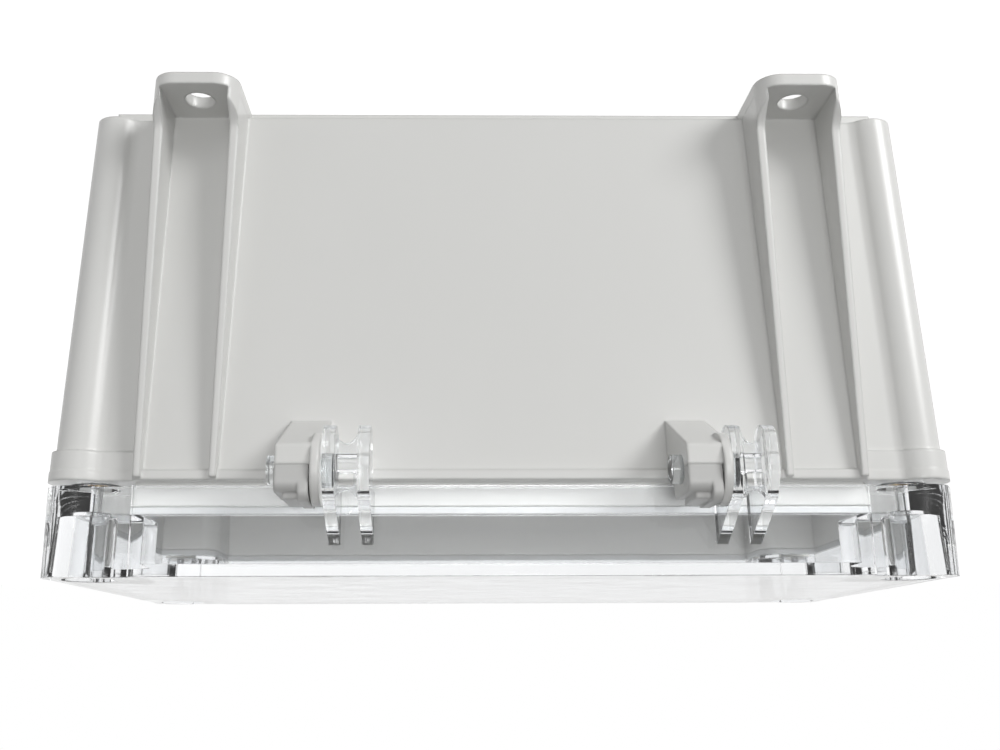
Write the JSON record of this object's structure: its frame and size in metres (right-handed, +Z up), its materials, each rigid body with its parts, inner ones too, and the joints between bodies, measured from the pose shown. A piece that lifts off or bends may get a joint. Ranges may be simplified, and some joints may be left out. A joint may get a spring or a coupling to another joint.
{
  "type": "hinged electronics enclosure",
  "caption": "Deep wall-mounting plastic enclosure with flared mounting ears, outrigger hinges, a clear gasketed lid and captive lid screws.",
  "frame": {"origin": "middle of the ears' hole pattern, in the plane that the base and its ears stand on", "axes": "+Z up through the lid; +Y towards the hinge side; X along the long sides"},
  "size_m": [0.2, 0.1334, 0.1135],
  "materials": {
    "base_plastic": "light grey, fine satin moulding",
    "keeper_plastic": "mid grey satin moulding",
    "clear_plastic": "clear polished polycarbonate",
    "pin_plastic": "clear polished polycarbonate",
    "seal_rubber": "soft light grey seal",
    "washer_rubber": "soft black washer",
    "retainer_plastic": "natural nylon",
    "screw_steel": "stainless steel",
    "insert_brass": "knurled brass"
  },
  "bodies": {
    "base": {"base_shell": "base_plastic", "hinge_keeper_left": "keeper_plastic", "hinge_keeper_right": "keeper_plastic", "lid_insert_front_left": "insert_brass", "lid_insert_front_right": "insert_brass", "lid_insert_back_left": "insert_brass", "lid_insert_back_right": "insert_brass", "panel_insert_front_left": "insert_brass", "panel_insert_front_right": "insert_brass", "panel_insert_back_left": "insert_brass", "panel_insert_back_right": "insert_brass"},
    "lid": {"lid_cover": "clear_plastic", "lid_gasket": "seal_rubber", "hinge_pin_left": "pin_plastic", "hinge_pin_right": "pin_plastic", "screw_retainer_left": "retainer_plastic", "screw_retainer_right": "retainer_plastic"},
    "seal_left": {"screw_seal_left": "washer_rubber"},
    "screw_left": {"lid_screw_left": "screw_steel"},
    "seal_right": {"screw_seal_right": "washer_rubber"},
    "screw_right": {"lid_screw_right": "screw_steel"}
  },
  "joints": [
    {"name": "lid_hinge", "type": "hinge", "parent": "base", "child": "lid", "pos_m": [0, 0.0625, 0.093], "axis": [-1, 0, 0], "range_deg": [0, 180]},
    {"name": "seal_left_slide", "type": "slide", "parent": "lid", "child": "seal_left", "axis": [0, 0, -1], "range_m": [0, 0.005]},
    {"name": "screw_left_spin", "type": "hinge", "parent": "seal_left", "child": "screw_left", "pos_m": [-0.0904, -0.0414, 0.103], "axis": [0, 0, -1], "range_deg": [0, 2571.5]},
    {"name": "seal_right_slide", "type": "slide", "parent": "lid", "child": "seal_right", "axis": [0, 0, -1], "range_m": [0, 0.005]},
    {"name": "screw_right_spin", "type": "hinge", "parent": "seal_right", "child": "screw_right", "pos_m": [0.0904, -0.0414, 0.103], "axis": [0, 0, -1], "range_deg": [0, 2571.5]}
  ],
  "couplings": [
    {"joint": "screw_left_spin", "follows": "seal_left_slide", "rad_per_m": 8976},
    {"joint": "screw_right_spin", "follows": "seal_right_slide", "rad_per_m": 8976}
  ]
}
